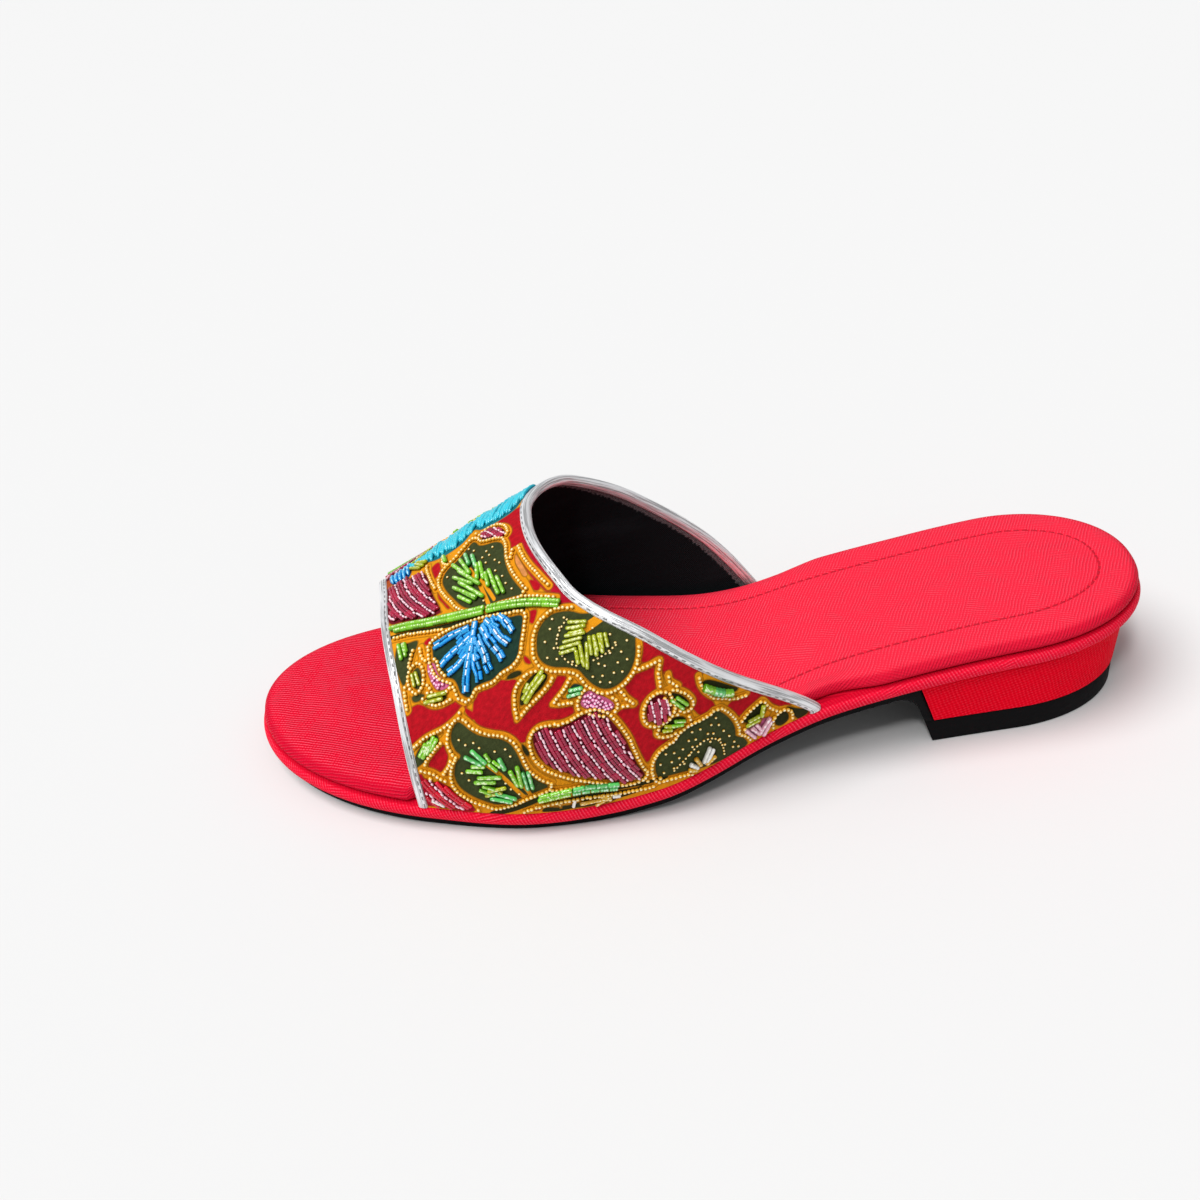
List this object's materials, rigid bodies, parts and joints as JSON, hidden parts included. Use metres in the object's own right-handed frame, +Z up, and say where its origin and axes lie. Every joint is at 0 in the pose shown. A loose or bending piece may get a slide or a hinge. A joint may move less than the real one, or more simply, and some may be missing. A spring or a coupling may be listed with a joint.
{
  "type": "beaded slide shoe",
  "caption": "Left women's open-toe slide: arched vamp with bound edges on a padded insole, a wrapped rim, a thin outsole and a low block heel with a rubber lift.",
  "frame": {"origin": "middle of the shoe's box, on the floor", "axes": "+X from heel to toe, +Y to the wearer's left, which is the outer side of this left shoe, +Z up"},
  "size_m": [0.2536, 0.0904, 0.0681],
  "materials": {
    "sole_rubber": "matt black",
    "wrapped_rim": "red, cross-hatch grain",
    "padded_insole": "red, cross-hatch grain",
    "wrapped_heel": "red, cross-hatch grain",
    "lift_rubber": "matt black",
    "beaded_cloth": "printed cloth sewn over with glass beads",
    "binding_foil": "metallic silver"
  },
  "bodies": {
    "root": {"outsole": "sole_rubber", "midsole": "wrapped_rim", "insole": "padded_insole", "heel": "wrapped_heel", "top_lift": "lift_rubber", "upper": "beaded_cloth", "front_binding": "binding_foil", "back_binding": "binding_foil"}
  },
  "joints": []
}
